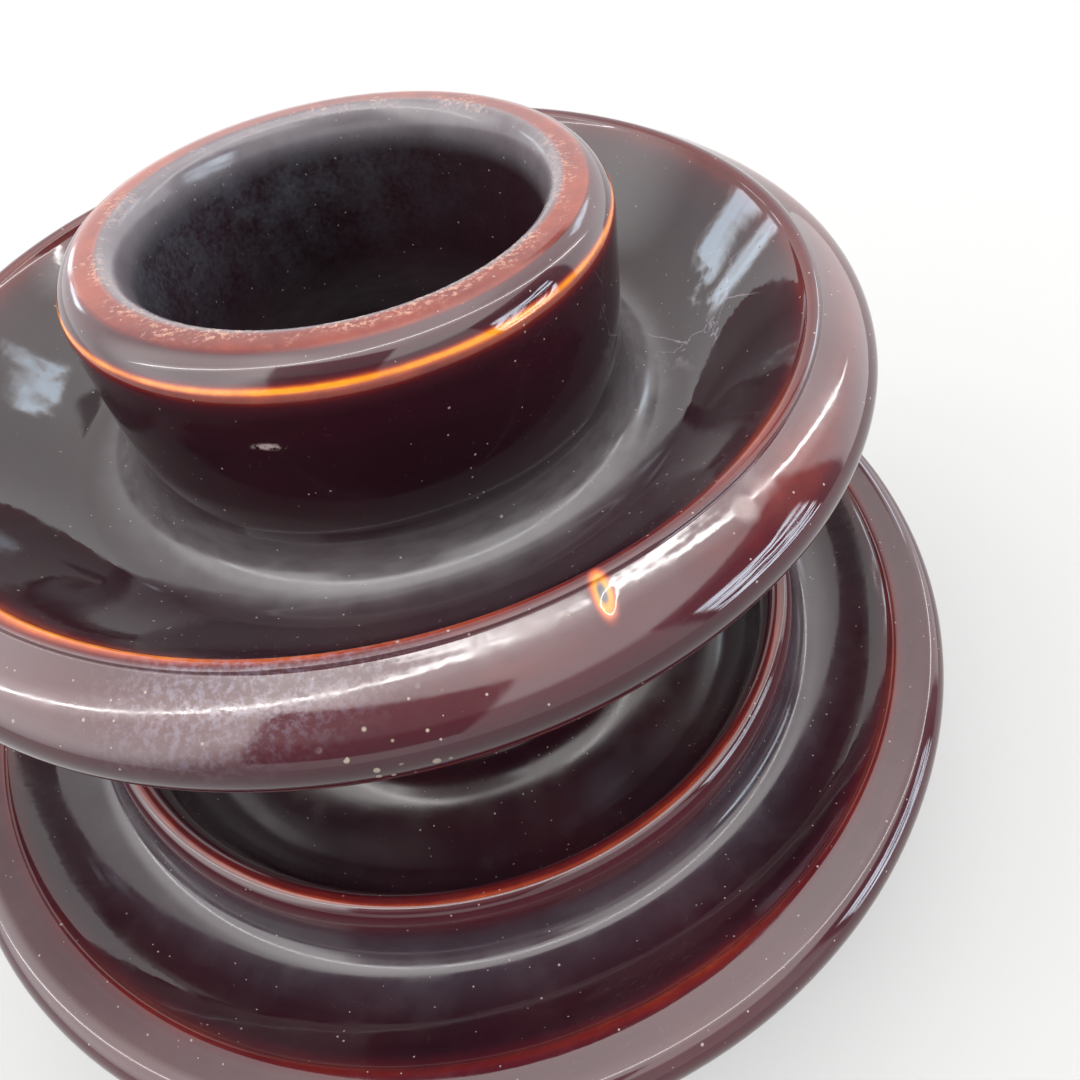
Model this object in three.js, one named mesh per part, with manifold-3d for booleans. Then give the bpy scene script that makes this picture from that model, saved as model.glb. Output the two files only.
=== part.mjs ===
// A two-shell porcelain pin insulator, stood on its crown with its pin hole facing up.
// Millimetres, +Z up, origin at the centre of the crown's flat face.
// Every piece is turned about Z: an outline of radius and height is swept round by LatheGeometry.
import * as THREE from "three";
import { mergeVertices } from "three/addons/utils/BufferGeometryUtils.js";
import Module from "manifold-3d";

const wasm = await Module();
wasm.setup();

// Driving dimensions.
const HEIGHT = 241.3; // crown face to pin-hole rim, 9.5 in
const HEAD_RADIUS = 152.4; // outer skirt, 12 in across
const SKIRT_RADIUS = 114.8; // inner shell's skirt
const TUBE_RADIUS = 59.4; // petticoat tube round the pin hole
const MOUTH_RADIUS = 44.3; // pin hole inside its rounded mouth
const NECK_RADIUS = 44.5; // bottom of the tie-wire groove
const CROWN_RADIUS = 56.5;
const SADDLE_RADIUS = 19; // conductor groove across the crown
const SADDLE_DEPTH = 15;
const THREAD_MAJOR_RADIUS = 17.46; // 1-3/8 in pin thread
const THREAD_DEPTH = 1.6;
const THREAD_PITCH = 6.35; // 4 threads per inch

// Heights of the rims above the crown face.
const SKIRT_RIM_Z = 207.0; // centre of the inner skirt's rounded lip
const HEAD_RIM_Z = 108.3; // centre of the outer skirt's rounded lip
const SKIRT_LIP_RADIUS = 7.7; // roundness of each lip
const HEAD_LIP_RADIUS = 6.9;
const COLLAR_RADIUS = 105.3; // crest of the ring inside the outer skirt
const COLLAR_Z = 120.6;

// The cemented joint between the shells, from the head's socket inwards to the trunk.
const SOCKET_MOUTH = { r: 51, z: 95 };
const SOCKET_FOOT = { r: 38, z: 51 };
const SOCKET_FLOOR_Z = 46;
const TRUNK_MOUTH = { r: 43.5, z: 97 };
const TRUNK_FOOT = { r: 32, z: 57 };
const TRUNK_END_Z = 52;

// The threaded thimble's seat at the bottom of the pin hole.
const SEAT_RADIUS = 26.5;
const SEAT_FLOOR_Z = 64;
const SEAT_TOP_Z = 122;
const THIMBLE_RADIUS = 21.6;
const THIMBLE_FOOT_Z = 67.4;
const THIMBLE_TOP_Z = 119;
const THIMBLE_CAP = 3;

const GAP = 0.3; // clearance kept between pieces that touch
const SAND = 1.0; // thickness of a fired-on sand band
const COAT = 0.5; // thickness of a bituminous coat
const SHELL_SEGMENTS = 40;
const INNER_SEGMENTS = 32;
const THREAD_SEGMENTS = 24;
const STEP_ANGLE = 26; // degrees a curved outline may turn between two rows of vertices

const porcelain = { color: 0x2a0a0b, roughness: 0.08, metalness: 0 };
const sand = { color: 0xb7a892, roughness: 0.95, metalness: 0 };
const cement = { color: 0x8d8a84, roughness: 0.9, metalness: 0 };
const bitumen = { color: 0x0c0b0b, roughness: 0.6, metalness: 0 };
const zinc = { color: 0x8f9499, roughness: 0.5, metalness: 0.9 };

const part = new THREE.Group();

function add(name, geometry, material) {
  const mesh = new THREE.Mesh(geometry, new THREE.MeshStandardMaterial(material));
  mesh.name = name;
  part.add(mesh);
}

function degrees(angle) {
  return (angle * Math.PI) / 180;
}

// How many straight steps a curve needs: more where it turns more.
function stepsOf(curve) {
  if (curve.isLineCurve) return 1;
  const samples = 16;
  let turn = 0;
  for (let i = 0; i < samples; i++) {
    const here = curve.getTangent(i / samples);
    const next = curve.getTangent((i + 1) / samples);
    turn += Math.abs(here.angleTo(next));
  }
  return Math.max(2, Math.ceil(turn / degrees(STEP_ANGLE)));
}

// Sweeps a path of (radius, height) round Z. The path runs outwards along the underside first.
function turned(path, segments) {
  const points = [];
  for (const curve of path.curves)
    for (const point of curve.getPoints(stepsOf(curve))) {
      const last = points.at(-1);
      if (!last || last.distanceTo(point) > 1e-3) points.push(point);
    }
  const geometry = new THREE.LatheGeometry(points, segments);
  return geometry.rotateX(Math.PI / 2);
}

// A straight taper's radius at a height.
function taper(foot, mouth, z) {
  return foot.r + ((mouth.r - foot.r) * (z - foot.z)) / (mouth.z - foot.z);
}

const socketRadius = (z) => taper(SOCKET_FOOT, SOCKET_MOUTH, z);
const trunkRadius = (z) => taper(TRUNK_FOOT, TRUNK_MOUTH, z);

// The crown shell: crown, tie-wire neck, outer skirt, inner ring and the socket for the trunk.
function headOutline() {
  const path = new THREE.Path();
  const crownRound = 9;
  path.moveTo(0, 0);
  path.lineTo(CROWN_RADIUS - crownRound, 0);
  path.absarc(CROWN_RADIUS - crownRound, crownRound, crownRound, degrees(-90), 0);
  path.bezierCurveTo(CROWN_RADIUS, 18, NECK_RADIUS, 17, NECK_RADIUS, 29);
  path.bezierCurveTo(NECK_RADIUS, 41, 52, 44, 60, 47);
  // Skirt's outside, down to the lip.
  const lip = HEAD_RADIUS - HEAD_LIP_RADIUS;
  path.bezierCurveTo(66, 50, 98, 70.4, 128, 88);
  path.lineTo(lip + 4.4, HEAD_RIM_Z - 5.3);
  path.absarc(lip, HEAD_RIM_Z, HEAD_LIP_RADIUS, degrees(-50), degrees(95));
  // Crisp inner edge of the lip, then the trough behind it.
  path.absarc(139.2, HEAD_RIM_Z + 4.4, 2.2, degrees(95), degrees(155));
  path.bezierCurveTo(133, 109.5, 127, 105.2, 119, 104.6);
  path.bezierCurveTo(114.5, 104.3, 111.4, 106.5, 110.2, 112);
  // Inner ring and the deep space inside it.
  path.bezierCurveTo(109.2, 117.2, 108.2, COLLAR_Z, COLLAR_RADIUS, COLLAR_Z);
  path.bezierCurveTo(101.5, COLLAR_Z, 100.5, 112, 98.5, 104);
  path.bezierCurveTo(96.2, 94, 90, 85, 77, 85);
  path.bezierCurveTo(68, 85, 62, 88, 59, 93);
  path.bezierCurveTo(57, 96.5, 54, 97.5, SOCKET_MOUTH.r, SOCKET_MOUTH.z);
  path.lineTo(SOCKET_FOOT.r, SOCKET_FOOT.z);
  path.quadraticCurveTo(SOCKET_FOOT.r - 1.4, SOCKET_FLOOR_Z, SOCKET_FOOT.r - 7, SOCKET_FLOOR_Z);
  path.lineTo(0, SOCKET_FLOOR_Z);
  return path;
}

// The centre shell: trunk, inner skirt, petticoat tube and the pin hole down its middle.
function centreOutline() {
  const path = new THREE.Path();
  path.moveTo(0, TRUNK_END_Z);
  path.lineTo(TRUNK_FOOT.r - 6, TRUNK_END_Z);
  path.quadraticCurveTo(TRUNK_FOOT.r - 1.4, TRUNK_END_Z, TRUNK_FOOT.r, TRUNK_FOOT.z);
  path.lineTo(TRUNK_MOUTH.r, TRUNK_MOUTH.z);
  path.bezierCurveTo(47, 110, 47, 158, 84, 171.5);
  // Skirt's outside, up to its lip.
  const lip = SKIRT_RADIUS - SKIRT_LIP_RADIUS;
  path.bezierCurveTo(95, 175.6, 106, 193.6, lip + 5.9, SKIRT_RIM_Z - 4.95);
  path.absarc(lip, SKIRT_RIM_Z, SKIRT_LIP_RADIUS, degrees(-40), 0);
  path.bezierCurveTo(SKIRT_RADIUS, SKIRT_RIM_Z + 5.7, 106.4, SKIRT_RIM_Z + 8.9, 101.83, SKIRT_RIM_Z + 11.34);
  // Crisp inner edge of the lip, then the bowl down to the tube.
  path.absarc(100.8, SKIRT_RIM_Z + 9.4, 2.2, degrees(62), degrees(160));
  path.bezierCurveTo(94, 211, 85.5, 198.3, 76, 192.3);
  path.bezierCurveTo(71.5, 189.9, 61.8, 188.6, TUBE_RADIUS + 0.6, 199.5);
  path.lineTo(TUBE_RADIUS, HEIGHT - 8.5);
  // Rim: soft outer edge, rounded shoulder, narrow flat land and the edge of the hole.
  const edge = TUBE_RADIUS - 0.9;
  path.bezierCurveTo(TUBE_RADIUS, HEIGHT - 6.6, edge + 0.6, HEIGHT - 5.6, edge, HEIGHT - 4.7);
  path.bezierCurveTo(edge - 1.3, HEIGHT - 2.2, 54.8, HEIGHT, 51.5, HEIGHT);
  path.lineTo(49, HEIGHT);
  path.bezierCurveTo(46.2, HEIGHT, MOUTH_RADIUS + 0.4, HEIGHT - 2.8, MOUTH_RADIUS, HEIGHT - 8);
  // Pin hole: wide mouth, cone, seat for the thimble and its closed end.
  path.lineTo(43, 182);
  path.bezierCurveTo(42, 160, 29, 150, 28, 134);
  path.lineTo(SEAT_RADIUS, SEAT_TOP_Z);
  path.lineTo(SEAT_RADIUS, SEAT_FLOOR_Z);
  path.lineTo(0, SEAT_FLOOR_Z);
  return path;
}

// A closed band between two heights, lying against a taper: its two faces are offsets from the taper.
function bandOutline(radiusAt, lowZ, highZ, inner, outer) {
  const path = new THREE.Path();
  path.moveTo(radiusAt(lowZ) + inner, lowZ);
  path.lineTo(radiusAt(lowZ) + outer, lowZ);
  path.lineTo(radiusAt(highZ) + outer, highZ);
  path.lineTo(radiusAt(highZ) + inner, highZ);
  path.lineTo(radiusAt(lowZ) + inner, lowZ);
  return path;
}

// Cement between the shells: a cup that carries the trunk, open at its top.
function jointCementOutline() {
  const path = new THREE.Path();
  const outside = (z) => socketRadius(z) - SAND - 2 * GAP;
  const inside = (z) => trunkRadius(z) + SAND + COAT + 3 * GAP;
  const floor = SOCKET_FLOOR_Z + GAP;
  const top = 93.5;
  path.moveTo(0, floor);
  path.lineTo(SOCKET_FOOT.r - 8, floor);
  path.lineTo(outside(53), 53);
  path.lineTo(outside(top), top);
  path.lineTo(inside(top), top - 0.8);
  path.lineTo(inside(60), 60);
  path.lineTo(TRUNK_FOOT.r + 2 * GAP, TRUNK_END_Z + 2.5);
  path.lineTo(TRUNK_FOOT.r - 1.5, TRUNK_END_Z - GAP);
  path.lineTo(0, TRUNK_END_Z - GAP);
  return path;
}

// Cement round the thimble: a cup in the bottom of the pin hole.
function thimbleCementOutline() {
  const path = new THREE.Path();
  const outside = SEAT_RADIUS - SAND - 2 * GAP;
  const inside = THIMBLE_RADIUS + COAT + 2 * GAP;
  const top = THIMBLE_TOP_Z - 1.5;
  path.moveTo(0, SEAT_FLOOR_Z + GAP);
  path.lineTo(outside, SEAT_FLOOR_Z + GAP);
  path.lineTo(outside, top);
  path.lineTo(inside, top);
  path.lineTo(inside, THIMBLE_FOOT_Z - GAP);
  path.lineTo(0, THIMBLE_FOOT_Z - GAP);
  return path;
}

// Lays a ring of rows of vertices into one closed surface, each row swept round Z.
// rows(i, angle) gives radius and height; the first and last rows lie on the axis.
function sweptRows(count, segments, row) {
  const positions = [];
  const index = [];
  for (let i = 0; i < count; i++)
    for (let k = 0; k < segments; k++) {
      const angle = (2 * Math.PI * k) / segments;
      const { r, z } = row(i, angle);
      positions.push(r * Math.cos(angle), r * Math.sin(angle), z);
    }
  for (let i = 0; i < count - 1; i++)
    for (let k = 0; k < segments; k++) {
      const next = (k + 1) % segments;
      const a = i * segments + k;
      const b = i * segments + next;
      index.push(a, b, a + segments);
      index.push(b, b + segments, a + segments);
    }
  const geometry = new THREE.BufferGeometry();
  geometry.setAttribute("position", new THREE.Float32BufferAttribute(positions, 3));
  geometry.setIndex(index);
  return geometry;
}

// The thimble: a closed-end sleeve with keying grooves outside and a true helical thread inside.
function thimbleGeometry() {
  const outer = [{ r: 0, z: THIMBLE_FOOT_Z }];
  const grooves = 3;
  const grooveDepth = 1.2;
  const pitch = (THIMBLE_TOP_Z - THIMBLE_FOOT_Z) / grooves;
  outer.push({ r: THIMBLE_RADIUS - 1, z: THIMBLE_FOOT_Z });
  for (let i = 0; i < grooves; i++) {
    const z = THIMBLE_FOOT_Z + pitch * i;
    outer.push({ r: THIMBLE_RADIUS, z: z + 1.5 });
    outer.push({ r: THIMBLE_RADIUS, z: z + pitch * 0.45 });
    outer.push({ r: THIMBLE_RADIUS - grooveDepth, z: z + pitch * 0.55 });
    outer.push({ r: THIMBLE_RADIUS - grooveDepth, z: z + pitch * 0.85 });
  }
  outer.push({ r: THIMBLE_RADIUS, z: THIMBLE_TOP_Z - 1 });
  outer.push({ r: THIMBLE_RADIUS - 0.5, z: THIMBLE_TOP_Z });

  // Thread: depth follows a triangle wave along height, shifted by the angle to make a helix.
  const low = THIMBLE_FOOT_Z + THIMBLE_CAP + 4;
  const rowsPerPitch = 4;
  const turns = 6;
  const threadRows = turns * rowsPerPitch + 1;
  const threadTop = THIMBLE_TOP_Z - 3;
  const fade = THREAD_PITCH; // the thread runs out over one pitch at each end
  const wave = (phase) => Math.abs(((phase % 1) + 1) % 1 - 0.5) * 2;
  const threadRow = (i, angle) => {
    const z = threadTop - (i * THREAD_PITCH) / rowsPerPitch;
    const depth = THREAD_DEPTH * wave(z / THREAD_PITCH - angle / (2 * Math.PI));
    const end = Math.min(1, (threadTop - z) / fade, (z - low) / fade);
    return { r: THREAD_MAJOR_RADIUS - Math.max(0, end) * depth, z };
  };
  const head = outer.length + 1;
  const rows = head + threadRows + 2;
  return sweptRows(rows, THREAD_SEGMENTS, (i, angle) => {
    if (i < outer.length) return outer[i];
    if (i < head) return { r: THREAD_MAJOR_RADIUS + 0.6, z: THIMBLE_TOP_Z };
    if (i < head + threadRows) return threadRow(i - head, angle);
    if (i < head + threadRows + 1) return { r: THREAD_MAJOR_RADIUS - 1, z: low };
    return { r: 0, z: low };
  });
}

// Turns a geometry into a manifold-3d solid for a boolean cut.
function solid(geometry) {
  const bare = geometry.index ? geometry.toNonIndexed() : geometry.clone();
  bare.deleteAttribute("normal");
  bare.deleteAttribute("uv");
  const merged = mergeVertices(bare, 1e-3);
  return new wasm.Manifold(
    new wasm.Mesh({
      numProp: 3,
      vertProperties: merged.attributes.position.array,
      triVerts: new Uint32Array(merged.index.array),
    }),
  );
}

function geometryOf(manifold) {
  const mesh = manifold.getMesh();
  const geometry = new THREE.BufferGeometry();
  geometry.setAttribute("position", new THREE.BufferAttribute(mesh.vertProperties, 3));
  geometry.setIndex(new THREE.BufferAttribute(mesh.triVerts, 1));
  return geometry;
}

// The round-bottomed saddle that the conductor lies in, across the crown along X.
function saddleCutter() {
  const section = new THREE.Shape();
  const sink = 12; // how far the cutter reaches out below the crown face
  const centre = SADDLE_RADIUS - SADDLE_DEPTH;
  const flare = 5;
  section.moveTo(-SADDLE_RADIUS - flare, -sink);
  section.lineTo(SADDLE_RADIUS + flare, -sink);
  section.lineTo(SADDLE_RADIUS + flare, -1);
  section.quadraticCurveTo(SADDLE_RADIUS - 0.5, 0, SADDLE_RADIUS - 1.2, 3);
  section.absarc(0, -centre, SADDLE_RADIUS, degrees(22), degrees(158));
  section.quadraticCurveTo(-SADDLE_RADIUS + 0.5, 0, -SADDLE_RADIUS - flare, -1);
  const length = 4 * CROWN_RADIUS;
  const cutter = new THREE.ExtrudeGeometry(section, {
    depth: length,
    bevelEnabled: false,
    curveSegments: 8,
  });
  // The section's X becomes Y and its Y becomes Z, so the groove runs along X.
  cutter.translate(0, 0, -length / 2);
  cutter.rotateX(Math.PI / 2);
  return cutter.rotateZ(Math.PI / 2);
}

const head = solid(turned(headOutline(), SHELL_SEGMENTS)).subtract(solid(saddleCutter()));
add("head_shell", geometryOf(head), porcelain);
add("centre_shell", turned(centreOutline(), SHELL_SEGMENTS), porcelain);

add(
  "socket_sand_band",
  turned(bandOutline(socketRadius, 56, 92.5, -SAND - GAP, -GAP), INNER_SEGMENTS),
  sand,
);
add(
  "trunk_sand_band",
  turned(bandOutline(trunkRadius, 61, 92, GAP, GAP + SAND), INNER_SEGMENTS),
  sand,
);
add(
  "trunk_bitumen_coat",
  turned(bandOutline(trunkRadius, 61, 92, 2 * GAP + SAND, 2 * GAP + SAND + COAT), INNER_SEGMENTS),
  bitumen,
);
add("joint_cement", turned(jointCementOutline(), INNER_SEGMENTS), cement);

const seatRadius = () => SEAT_RADIUS;
const thimbleRadius = () => THIMBLE_RADIUS;
add(
  "pin_hole_sand_band",
  turned(bandOutline(seatRadius, 70, 114, -SAND - GAP, -GAP), INNER_SEGMENTS),
  sand,
);
add("thimble_cement", turned(thimbleCementOutline(), INNER_SEGMENTS), cement);
add(
  "thimble_bitumen_coat",
  turned(bandOutline(thimbleRadius, 69, 116, GAP, GAP + COAT), INNER_SEGMENTS),
  bitumen,
);
add("pin_thimble", thimbleGeometry(), zinc);

export default part;
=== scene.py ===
"""A two-shell pin insulator in brown-glazed porcelain, stood on its crown with its pin hole facing up.

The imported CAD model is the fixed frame. The two shells, the cement and the thimble are rebuilt here as
finer turned surfaces on the same outlines; the thin inner bands keep their CAD shape.
"""

import math

import bpy
import numpy as np
from mathutils import Matrix, Vector


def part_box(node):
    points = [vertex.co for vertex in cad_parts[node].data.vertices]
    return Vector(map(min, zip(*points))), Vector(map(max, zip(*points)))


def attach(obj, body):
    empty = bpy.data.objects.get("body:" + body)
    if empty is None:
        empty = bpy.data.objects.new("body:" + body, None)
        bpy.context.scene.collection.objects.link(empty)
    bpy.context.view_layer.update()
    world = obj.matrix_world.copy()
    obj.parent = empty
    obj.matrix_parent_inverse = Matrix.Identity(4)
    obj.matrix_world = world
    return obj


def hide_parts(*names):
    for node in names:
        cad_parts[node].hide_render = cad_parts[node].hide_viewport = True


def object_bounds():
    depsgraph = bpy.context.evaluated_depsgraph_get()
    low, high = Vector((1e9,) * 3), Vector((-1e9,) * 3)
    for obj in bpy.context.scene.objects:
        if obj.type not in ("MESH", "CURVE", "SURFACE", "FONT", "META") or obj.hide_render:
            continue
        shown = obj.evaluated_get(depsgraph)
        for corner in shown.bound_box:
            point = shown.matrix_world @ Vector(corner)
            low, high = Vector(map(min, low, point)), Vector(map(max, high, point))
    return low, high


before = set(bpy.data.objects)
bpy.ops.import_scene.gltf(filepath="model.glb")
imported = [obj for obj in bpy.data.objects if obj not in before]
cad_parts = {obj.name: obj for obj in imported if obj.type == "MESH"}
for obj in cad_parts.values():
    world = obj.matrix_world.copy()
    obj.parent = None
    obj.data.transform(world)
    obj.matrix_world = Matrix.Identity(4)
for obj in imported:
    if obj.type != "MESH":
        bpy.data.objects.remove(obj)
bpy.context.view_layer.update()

MM = 0.001

# Dimensions in millimetres, as in the CAD part.
HEIGHT = 241.3
TUBE_RADIUS = 59.4
MOUTH_RADIUS = 44.3
NECK_RADIUS = 44.5
CROWN_RADIUS = 56.5
CROWN_ROUND = 9.0
SADDLE_RADIUS = 19.0
SADDLE_DEPTH = 15.0
SKIRT_LIP = (107.1, 207.0, 7.7)  # radius and height of the lip's centre, and its roundness
SKIRT_SHOULDER = (100.8, 216.4, 2.2)
HEAD_LIP = (145.5, 108.3, 6.9)
HEAD_SHOULDER = (139.2, 112.7, 2.2)
RING = (105.3, 120.6)
SOCKET_FOOT = (38.0, 51.0)
SOCKET_MOUTH = (51.0, 95.0)
TRUNK_FOOT = (32.0, 57.0)
TRUNK_MOUTH = (43.5, 97.0)
SEAT_RADIUS = 26.5
THIMBLE_RADIUS = 21.6
THREAD_RADIUS = 17.46
THREAD_DEPTH = 1.6
THREAD_PITCH = 6.35
RIM_EDGE = (57.1, 234.9)  # lower edge of the tube's rounded rim

SEGMENTS = 360


# ---------------------------------------------------------------- outlines and turned surfaces


class Outline:
    """A path of (radius, height) points in millimetres, built from lines, arcs and curves."""

    def __init__(self, r, z):
        self.points = [(r, z)]

    def line(self, r, z, step=2.5):
        r0, z0 = self.points[-1]
        count = max(1, math.ceil(math.hypot(r - r0, z - z0) / step))
        for i in range(1, count + 1):
            t = i / count
            self.points.append((r0 + (r - r0) * t, z0 + (z - z0) * t))
        return self

    def arc(self, centre, radius, start, end, step=6.0):
        first = math.radians(start)
        self.line(centre[0] + radius * math.cos(first), centre[1] + radius * math.sin(first), 1.6)
        count = math.ceil(abs(end - start) / step)
        for i in range(1, count + 1):
            a = math.radians(start + (end - start) * i / count)
            self.points.append((centre[0] + radius * math.cos(a), centre[1] + radius * math.sin(a)))
        return self

    def curve(self, c1, c2, end, step=1.6):
        p = [np.array(q, float) for q in (self.points[-1], c1, c2, end)]
        length = sum(float(np.linalg.norm(p[i + 1] - p[i])) for i in range(3))
        count = max(6, math.ceil(length / step))
        for i in range(1, count + 1):
            t = i / count
            q = (
                (1 - t) ** 3 * p[0]
                + 3 * (1 - t) ** 2 * t * p[1]
                + 3 * (1 - t) * t * t * p[2]
                + t**3 * p[3]
            )
            self.points.append((float(q[0]), float(q[1])))
        return self

    def array(self):
        kept = [self.points[0]]
        for q in self.points[1:]:
            if math.dist(q, kept[-1]) > 1e-3:
                kept.append(q)
        return np.array(kept)


def head_outline():
    o = Outline(0, 0).line(CROWN_RADIUS - CROWN_ROUND, 0, 1.4)
    o.arc((CROWN_RADIUS - CROWN_ROUND, CROWN_ROUND), CROWN_ROUND, -90, 0)
    o.curve((CROWN_RADIUS, 18), (NECK_RADIUS, 17), (NECK_RADIUS, 29))
    o.curve((NECK_RADIUS, 41), (52, 44), (60, 47))
    o.curve((66, 50), (98, 70.4), (128, 88), 2.4)
    lip_r, lip_z, lip_round = HEAD_LIP
    o.line(lip_r + 4.4, lip_z - 5.3)
    o.arc((lip_r, lip_z), lip_round, -50, 95)
    o.arc(HEAD_SHOULDER[:2], HEAD_SHOULDER[2], 95, 155, 10)
    o.curve((133, 109.5), (127, 105.2), (119, 104.6))
    o.curve((114.5, 104.3), (111.4, 106.5), (110.2, 112), 0.9)
    o.curve((109.2, 117.2), (108.2, RING[1]), RING, 0.8)
    o.curve((101.5, RING[1]), (100.5, 112), (98.5, 104), 0.9)
    o.curve((96.2, 94), (90, 85), (77, 85))
    o.curve((68, 85), (62, 88), (59, 93))
    o.curve((57, 96.5), (54, 97.5), SOCKET_MOUTH)
    o.line(*SOCKET_FOOT, 4)
    o.curve((36.9, 47.7), (34.5, 46), (31, 46), 2)
    return o.line(0, 46, 8).array()


def centre_outline():
    o = Outline(0, 52).line(26, 52, 8)
    o.curve((29, 52), (31, 53.7), TRUNK_FOOT, 2)
    o.line(*TRUNK_MOUTH, 4)
    o.curve((47, 110), (47, 158), (84, 171.5), 2.4)
    lip_r, lip_z, lip_round = SKIRT_LIP
    o.curve((95, 175.6), (106, 193.6), (lip_r + 5.9, lip_z - 4.95), 2)
    o.arc((lip_r, lip_z), lip_round, -40, 0)
    o.curve((lip_r + lip_round, lip_z + 5.7), (106.4, lip_z + 8.9), (101.83, lip_z + 11.34), 0.7)
    o.arc(SKIRT_SHOULDER[:2], SKIRT_SHOULDER[2], 62, 160, 10)
    o.curve((94, 211), (85.5, 198.3), (76, 192.3), 1.4)
    o.curve((71.5, 189.9), (61.8, 188.6), (TUBE_RADIUS + 0.6, 199.5), 1.0)
    o.line(TUBE_RADIUS, HEIGHT - 8.5, 2)
    o.curve(
        (TUBE_RADIUS, HEIGHT - 6.6),
        (TUBE_RADIUS - 0.3, HEIGHT - 5.6),
        (TUBE_RADIUS - 0.9, HEIGHT - 4.7),
        0.5,
    )
    o.curve((TUBE_RADIUS - 2.2, HEIGHT - 2.2), (54.8, HEIGHT), (51.5, HEIGHT), 0.8)
    o.line(49, HEIGHT, 1)
    o.curve((46.2, HEIGHT), (MOUTH_RADIUS + 0.4, HEIGHT - 2.8), (MOUTH_RADIUS, HEIGHT - 8), 0.6)
    o.line(43, 182, 3)
    o.curve((42, 160), (29, 150), (28, 134))
    o.line(SEAT_RADIUS, 122)
    o.line(SEAT_RADIUS, 64, 6)
    return o.line(0, 64, 8).array()


def ring_angles(fine):
    """Angles round the axis: evenly spaced, and closer together inside each (low, high, step) window."""
    angles = list(np.arange(SEGMENTS) * 360.0 / SEGMENTS - 180.0)
    for low, high, step in fine:
        angles = [a for a in angles if not low - 0.3 < a < high + 0.3]
        angles += list(np.arange(low, high + 1e-6, step))
    return np.radians(np.array(sorted(angles)))


def turned_mesh(name, outline, angles, shift):
    """One closed surface swept round Z, from an outline that starts and ends on the axis.
    shift takes arrays of radius, height and angle and gives back new radius and height."""
    body = outline[1:-1]
    rows, columns = len(body), len(angles)
    r = np.repeat(body[:, 0][:, None], columns, 1)
    z = np.repeat(body[:, 1][:, None], columns, 1)
    a = np.repeat(angles[None, :], rows, 0)
    r, z = shift(r, z, a)
    points = np.stack([r * np.cos(a), r * np.sin(a), z], -1).reshape(-1, 3)
    faces = []
    for row in range(rows - 1):
        start, after = row * columns, (row + 1) * columns
        for k in range(columns):
            n = (k + 1) % columns
            faces.append((start + k, start + n, after + n, after + k))
    # A fan at each end closes the surface on the axis.
    first_pole, last_pole = len(points), len(points) + 1
    points = np.vstack([points, [0, 0, z[0].mean()], [0, 0, z[-1].mean()]])
    last_row = (rows - 1) * columns
    for k in range(columns):
        n = (k + 1) % columns
        faces.append((first_pole, n, k))
        faces.append((last_pole, last_row + k, last_row + n))
    mesh = bpy.data.meshes.new(name)
    mesh.from_pydata((points * MM).tolist(), [], faces)
    mesh.update()
    return mesh


def vertex_places(mesh):
    """The mesh's vertices as one (count, 3) array, in metres."""
    co = np.empty(len(mesh.vertices) * 3)
    mesh.vertices.foreach_get("co", co)
    return co.reshape(-1, 3)


def stand_for(mesh, node):
    """A piece made of the mesh that rides on the root body and stands for one CAD node, inside its box."""
    low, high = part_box(node)
    co = vertex_places(mesh)
    for axis in (0, 1):
        widest = np.abs(co[:, axis]).max()
        room = min(high[axis], -low[axis])
        if widest > room:
            co[:, axis] *= room / widest
    co[:, 2] = np.clip(co[:, 2], low.z, high.z)
    mesh.vertices.foreach_set("co", co.ravel())
    mesh.polygons.foreach_set("use_smooth", [True] * len(mesh.polygons))
    mesh.update()
    piece = bpy.data.objects.new(node + "_detail", mesh)
    bpy.context.scene.collection.objects.link(piece)
    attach(piece, "root")
    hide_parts(node)
    return piece


def smooth_max(a, b, k):
    h = np.clip(0.5 + 0.5 * (a - b) / k, 0, 1)
    return b * (1 - h) + a * h + k * h * (1 - h)


def unevenness(r, z, a, seed, size):
    """A slow random swell of about +-1 over the surface, from seeded waves."""
    rng = np.random.default_rng(seed)
    total = np.zeros_like(r)
    x, y = r * np.cos(a), r * np.sin(a)
    for _ in range(7):
        d = rng.normal(size=3)
        d *= 2 * math.pi / (size * rng.uniform(0.7, 1.6)) / np.linalg.norm(d)
        total += np.sin(x * d[0] + y * d[1] + z * d[2] + rng.uniform(0, 2 * math.pi))
    return total / 3.5


# ---------------------------------------------------------------- the shells

# A kiln blister on the inner skirt's lip: angle in degrees, radius and height in millimetres.
BLISTER = (-77.6, 103.8, 217.6)
BLISTER_SIZE = 2.1
BLISTER_DEPTH = 0.26


def direction(azimuth, elevation):
    """The unit vector that points that way, both in degrees."""
    a, e = math.radians(azimuth), math.radians(elevation)
    return Vector((math.cos(e) * math.cos(a), math.cos(e) * math.sin(a), math.sin(e)))


def point_at(angle, r, z):
    """The place at an angle in degrees, and a radius and height in millimetres."""
    a = math.radians(angle)
    return Vector((r * math.cos(a), r * math.sin(a), z)) * MM


def shape_centre(r, z, a):
    swell = unevenness(r, z, a, 11, 90.0)
    ripple = unevenness(r, z, a, 12, 26.0)
    r = r + 0.16 * swell + 0.035 * ripple
    # The tube's rim and the skirt's lip were trimmed by hand, so they rise and fall a little.
    z = z + np.where(z > 185, 0.18 * unevenness(r, z, a, 13, 120.0), 0)
    x, y = r * np.cos(a), r * np.sin(a)
    centre = point_at(*BLISTER) / MM
    away = np.sqrt(((x - centre.x) * 1.7) ** 2 + ((y - centre.y) * 0.75) ** 2)
    dent = np.where(z > 205, np.exp(-((away / BLISTER_SIZE) ** 2)), 0)
    return r, z - BLISTER_DEPTH * dent


# The crown's side, from its rounded edge in to the tie-wire neck.
CROWN_SIDE = Outline(CROWN_RADIUS, CROWN_ROUND).curve(
    (CROWN_RADIUS, 18), (NECK_RADIUS, 17), (NECK_RADIUS, 29)
).array()


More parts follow.
